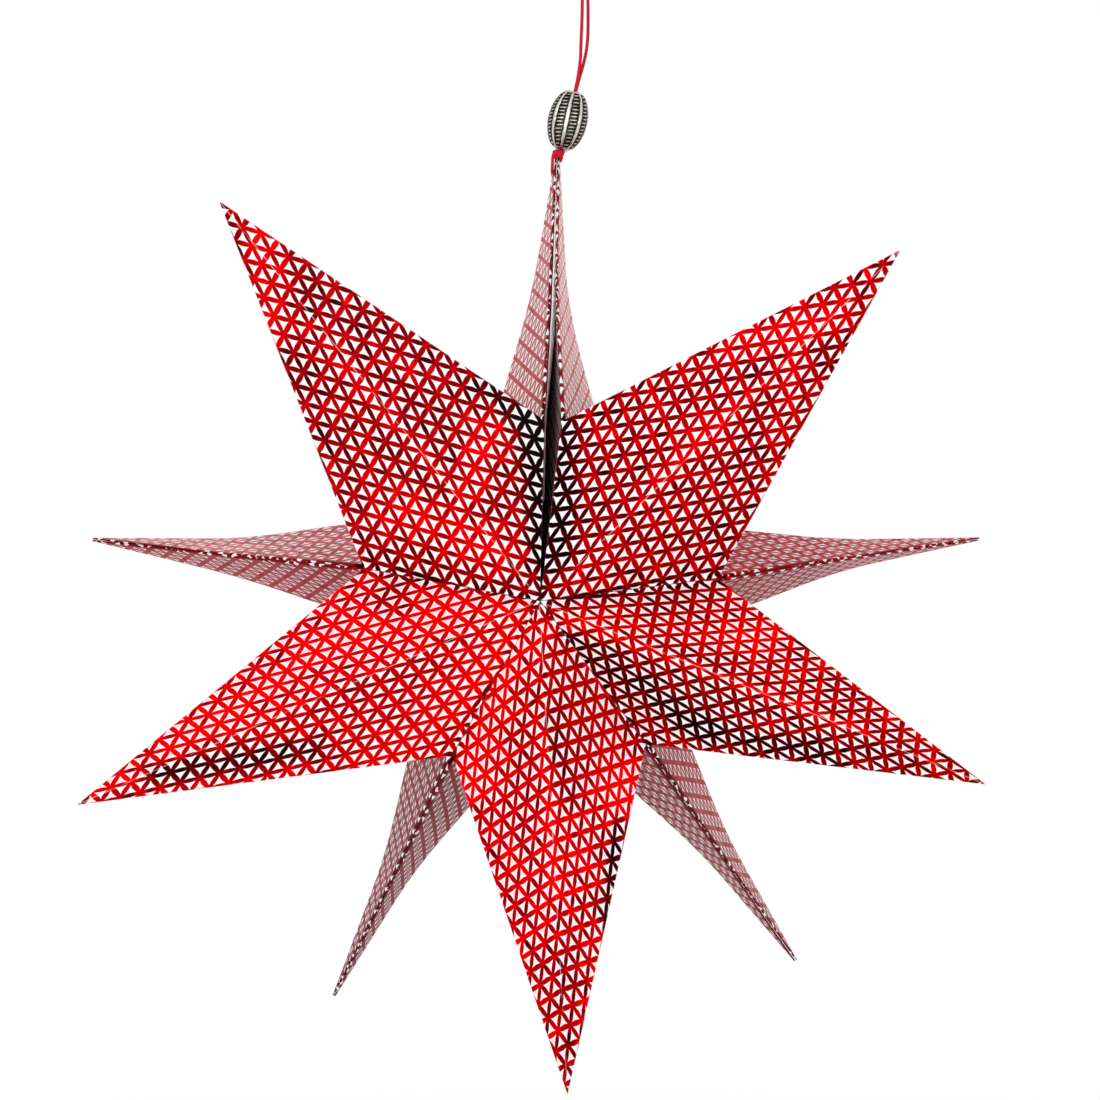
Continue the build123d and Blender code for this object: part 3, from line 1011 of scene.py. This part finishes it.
def ribbed_bead():
    """Profile spun round the bore, its bands inset between the ribs and the rungs."""
    rung_start = -RUNG_PITCH * (RUNG_COUNT - 1) / 2
    band_end = -rung_start + RUNG_PITCH * BAND_END_PITCHES
    rows = [-band_end]
    for number in range(RUNG_COUNT):
        middle = rung_start + RUNG_PITCH * number
        rows += [middle - RUNG_HEIGHT / 2, middle + RUNG_HEIGHT / 2]
    rows.append(band_end)
    profile = [(radius, -share * BEAD_HALF) for radius, share in BEAD_RIM]
    profile += [(barrel_radius(height), height) for height in rows]
    profile += [(radius, share * BEAD_HALF) for radius, share in reversed(BEAD_RIM)]
    bm = bmesh.new()
    loop = [bm.verts.new((radius, 0, height)) for radius, height in profile]
    edges = [bm.edges.new((loop[i], loop[(i + 1) % len(loop)])) for i in range(len(loop))]
    steps = BAND_COUNT * (BAND_STEPS + RIB_STEPS)
    bmesh.ops.spin(
        bm, geom=loop + edges, cent=(0, 0, 0), axis=(0, 0, 1), angle=2 * pi, steps=steps,
        use_merge=True,
    )
    bmesh.ops.recalc_face_normals(bm, faces=bm.faces)
    step = 2 * pi / steps
    band_angle = step * BAND_STEPS
    rib_angle = step * RIB_STEPS
    sector = step * (BAND_STEPS + RIB_STEPS)
    sunken = []
    for face in bm.faces:
        middle = face.calc_center_median()
        place_in = (atan2(middle.y, middle.x) % (2 * pi)) % sector
        column = int(place_in / step)
        if middle.xy.length < BORE_WALL or abs(middle.z) > band_end or column >= BAND_STEPS:
            continue
        edge_column = column in (0, BAND_STEPS - 1)
        above_first = middle.z - rung_start
        off_rung = abs(above_first - RUNG_PITCH * round(above_first / RUNG_PITCH))
        beyond = abs(middle.z) > -rung_start + RUNG_HEIGHT / 2
        if edge_column or off_rung > RUNG_HEIGHT / 2 or beyond:
            sunken.append(face)

    # Crests for the wear and for a painted highlight and shade; the ribs swell and the rungs climb
    # to one side
    crests = bm.verts.layers.float.new("crest")
    for v in bm.verts:
        past_band = (atan2(v.co.y, v.co.x) % (2 * pi)) % sector - band_angle
        on_rib = past_band >= 0
        across = past_band / rib_angle if on_rib else -past_band / band_angle
        if abs(v.co.z) >= band_end:
            v[crests] = RIM_SHINE
            continue
        v[crests] = sin(pi * across) * (1.0 if on_rib else RUNG_SHINE)
        if v.co.xy.length <= RIM_WALL:
            continue
        if on_rib and past_band <= rib_angle:
            v.co.xy += v.co.xy.normalized() * RIB_SWELL * sin(pi * across)
        elif not on_rib and abs(v.co.z) < band_end - RUNG_HEIGHT:
            v.co.z += RUNG_RISE * (0.5 - across)
    walls = bmesh.ops.inset_region(
        bm, faces=sunken, thickness=BAND_INSET, depth=-BAND_DEPTH, use_even_offset=True,
        use_boundary=True,
    )["faces"]
    for face in sunken + walls:
        face.material_index = 1
    for face in bm.faces:
        face.smooth = True
    right = Vector((0, 1, 0)).cross(BEAD_UP)
    turn = Matrix.Rotation(radians(BAND_TURN), 3, "Z")
    upright = Matrix((right, Vector((0, 1, 0)), BEAD_UP)).transposed() @ turn
    onto_cord = Matrix.Translation(BEAD_CENTRE) @ upright.to_4x4()
    bmesh.ops.transform(bm, matrix=onto_cord, verts=bm.verts)
    # Its crests brighter, partly as wear and partly as a painted highlight
    silver = metal_finish(
        "antique_silver", SILVER_DARK, SILVER_LIGHT, SILVER_ROUGHNESS, worn=CREST_WEAR_AND_SHEEN,
    )
    blackened = metal_finish(
        "blackened_silver", BLACKENED_DARK, BLACKENED_LIGHT, BLACKENED_ROUGHNESS,
    )
    piece = finished_piece("ribbed_bead", bm, silver, blackened)
    rounding = piece.modifiers.new("rounded_edges", "BEVEL")
    rounding.width = EDGE_ROUNDING
    rounding.segments = 3
    rounding.limit_method = "ANGLE"
    rounding.angle_limit = radians(EDGE_ROUNDING_ANGLE)
    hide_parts("cord_bead")
    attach(piece, "bead")
    return piece


bead = ribbed_bead()

red_cord = satin_cord()
cord = cord_curve("cord_strands", CORD_ROUTE, CORD_DIAMETER / 2, red_cord)
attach(cord, "cord")
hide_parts("hanging_cord")

# Knot: the cord wrapped three times round the two tips, and a thinner strand down each side
SIDE_STRAND_RADIUS = CORD_DIAMETER * 0.46
WRAP_ROUTE = [
    (-0.0084, -0.0006, -0.0768), (-0.0096, -0.0022, -0.0766), (-0.0114, -0.0014, -0.0771),
    (-0.0110, 0.0009, -0.0773), (-0.0090, 0.0013, -0.0771), (-0.0076, 0.0000, -0.0771),
    (-0.0080, -0.0024, -0.0773), (-0.0100, -0.0032, -0.0777), (-0.0118, -0.0016, -0.0781),
    (-0.0112, 0.0010, -0.0782), (-0.0091, 0.0012, -0.0780), (-0.0080, -0.0004, -0.0780),
    (-0.0084, -0.0028, -0.0783), (-0.0101, -0.0036, -0.0789), (-0.0118, -0.0018, -0.0791),
    (-0.0112, 0.0008, -0.0791), (-0.0092, 0.0010, -0.0790), (-0.0084, -0.0006, -0.0789),
    (-0.0088, -0.0026, -0.0794),
]
LEFT_STRAND_ROUTE = [
    (-0.0084, -0.0030, -0.0772), (-0.0102, -0.0037, -0.0775), (-0.0117, -0.0030, -0.0786),
    (-0.0118, -0.0026, -0.0806), (-0.0119, -0.0028, -0.0828), (-0.0120, -0.0032, -0.0848),
    (-0.0114, -0.0032, -0.0868),
]
RIGHT_STRAND_ROUTE = [
    (-0.0114, -0.0028, -0.0774), (-0.0098, -0.0040, -0.0777), (-0.0085, -0.0038, -0.0785),
    (-0.0084, -0.0030, -0.0796), (-0.0090, -0.0018, -0.0806),
]
cord_wraps = cord_curve("cord_wraps", WRAP_ROUTE, CORD_DIAMETER / 2, red_cord)
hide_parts("tip_knot")
left_strand = cord_curve("left_strand", LEFT_STRAND_ROUTE, SIDE_STRAND_RADIUS, red_cord)
right_strand = cord_curve("right_strand", RIGHT_STRAND_ROUTE, SIDE_STRAND_RADIUS, red_cord)
for strand in (cord_wraps, left_strand, right_strand):
    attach(strand, "star")

# Camera: level, 1.5 m before the star's front centre
camera_data = bpy.data.cameras.new("camera")
camera_data.lens = 147.3
camera_data.sensor_width = 36.0
camera = linked_object("camera", camera_data)
camera.location = (-0.0127, -1.635, -0.2216)
camera.rotation_euler = (radians(90), 0, 0)
bpy.context.scene.camera = camera
bpy.context.scene.view_settings.view_transform = "Standard"

# Stage: a pale floor that turns white at a distance, in a white room
FLOOR_HEIGHT = -0.5
FLOOR_HALF = 4.0
FLOOR_GREY = 0.92
FLOOR_ROUGHNESS = 0.7
FLOOR_FADE = (0.35, 0.75)
ROOM_LIGHT = 0.6
WHITE = (1, 1, 1, 1)


def seen_directly(tree):
    """1 where only the camera, a clean reflection or clear glass looks."""
    path = tree.nodes.new("ShaderNodeLightPath")
    seen = math_node(tree, "MAXIMUM", path.outputs["Is Camera Ray"], path.outputs["Is Glossy Ray"])
    return math_node(tree, "MAXIMUM", seen, path.outputs["Is Transmission Ray"])


def light_node(tree, kind, strength):
    node = tree.nodes.new(kind)
    node.inputs["Color"].default_value = WHITE
    node.inputs["Strength"].default_value = strength
    return node.outputs[0]


def pale_floor():
    material, tree = new_material("pale_floor")
    from_middle = vector_node(tree, "SUBTRACT", object_place(tree), (0, 0, FLOOR_HEIGHT))
    far_share = smooth_step(tree, vector_node(tree, "LENGTH", from_middle), *FLOOR_FADE)
    share = math_node(tree, "MULTIPLY", seen_directly(tree), far_share)
    base = shader_node(tree, (FLOOR_GREY, FLOOR_GREY, FLOOR_GREY, 1), FLOOR_ROUGHNESS)
    white = light_node(tree, "ShaderNodeEmission", 1.0)
    set_surface(tree, mix_shaders(tree, share, base, white))
    return material


bm = bmesh.new()
bmesh.ops.create_grid(bm, x_segments=2, y_segments=2, size=FLOOR_HALF)
bmesh.ops.translate(bm, verts=bm.verts, vec=(0, 0, FLOOR_HEIGHT))
finished_piece("floor", bm, pale_floor())

world = bpy.data.worlds.new("studio")
world.use_nodes = True
bpy.context.scene.world = world
tree = world.node_tree
tree.nodes.clear()
room = light_node(tree, "ShaderNodeBackground", ROOM_LIGHT)
white = light_node(tree, "ShaderNodeBackground", 1.0)
output = tree.nodes.new("ShaderNodeOutputWorld")
tree.links.new(mix_shaders(tree, seen_directly(tree), room, white), output.inputs["Surface"])

# Lamps aimed at the star's middle: place, width and power
LAMP_TARGET = Vector((0, 0, -0.24))
LAMPS = {
    "key": ((-0.8, -1.6, 0.6), 1.0, 8),
    "fill": ((1.1, -1.4, -0.3), 1.0, 4),
    "front": ((-0.2, -2.1, -0.05), 0.4, 18),
    "back": ((0.05, 2.2, -0.2), 1.0, 12),
}
for name, (lamp_place, width, power) in LAMPS.items():
    lamp = bpy.data.lights.new(name, "AREA")
    lamp.shape = "SQUARE"
    lamp.size = width
    lamp.energy = power
    light = linked_object(name, lamp)
    light.location = lamp_place
    light.rotation_euler = (LAMP_TARGET - Vector(lamp_place)).to_track_quat("-Z", "Y").to_euler()
